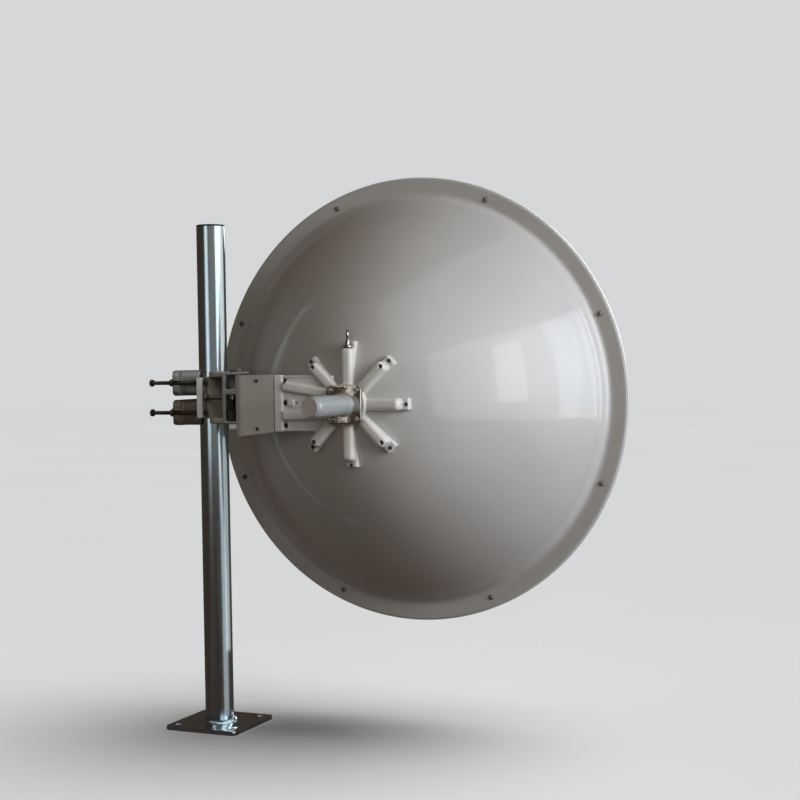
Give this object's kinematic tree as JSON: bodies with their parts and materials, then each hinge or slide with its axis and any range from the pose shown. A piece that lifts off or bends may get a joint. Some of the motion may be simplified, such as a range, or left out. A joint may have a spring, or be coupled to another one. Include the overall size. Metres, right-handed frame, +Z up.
{
  "type": "microwave dish antenna",
  "caption": "Deep round microwave dish antenna with a flat radome, held beside an upright steel pole by a V-jaw clamp, a tilting plate, an arm plate and a ribbed hub casting.",
  "frame": {"origin": "middle of the underside of the pole's foot plate", "axes": "+Z up along the pole, +Y the way the dish looks, +X from the pole towards the dish's centre"},
  "size_m": [0.9229, 0.5213, 1.1015],
  "materials": {
    "galvanised_steel": "galvanised, satin",
    "black_plastic": "matt",
    "grey_casting": "cast, grey coat",
    "light_coating": "light grey powder coat, glossy",
    "dish_coating": "light warm grey coat, glossy",
    "dark_steel": "weathered bolts, brownish black",
    "bright_zinc": "zinc plated",
    "bright_steel": "polished",
    "white_plastic": "off white, satin",
    "tube_coating": "pale blue grey anodised"
  },
  "bodies": {
    "mast": {"pole": "galvanised_steel", "pole_foot": "galvanised_steel", "pole_cap": "black_plastic"},
    "clamp": {"mast_bracket": "grey_casting", "clamp_bar_front": "light_coating", "clamp_bar_rear": "light_coating", "clamp_jaw_upper": "grey_casting", "clamp_jaw_lower": "grey_casting", "clamp_bolt_front_upper": "dark_steel", "clamp_bolt_front_lower": "dark_steel", "clamp_bolt_rear_upper": "dark_steel", "clamp_bolt_rear_lower": "dark_steel", "clamp_nut_front_upper": "dark_steel", "clamp_nut_front_lower": "dark_steel", "clamp_nut_rear_upper": "dark_steel", "clamp_nut_rear_lower": "dark_steel", "elevation_bolt": "bright_zinc", "elevation_nut": "bright_zinc", "elevation_pivot": "bright_zinc", "elevation_pivot_nut": "bright_zinc"},
    "head": {"swivel_bracket": "grey_casting", "hinge_block_upper": "grey_casting", "hinge_block_lower": "light_coating", "hinge_bolt": "bright_zinc", "hinge_nut": "bright_zinc", "adjuster_screw": "bright_zinc", "adjuster_nut": "dark_steel", "arm_plate": "light_coating", "reflector": "dish_coating", "radome": "white_plastic", "spider_casting": "light_coating", "feed_plate": "bright_steel", "feed_tube": "tube_coating", "feed_tube_cap": "light_coating", "lifting_eye": "bright_steel"}
  },
  "joints": [
    {"name": "azimuth", "type": "hinge", "parent": "mast", "child": "clamp", "pos_m": [0, 0, 0.6625], "axis": [0, 0, 1], "range_deg": [-180, 180]},
    {"name": "elevation", "type": "hinge", "parent": "clamp", "child": "head", "pos_m": [0, 0, 0.6625], "axis": [1, 0, 0], "range_deg": [-10, 10]}
  ]
}
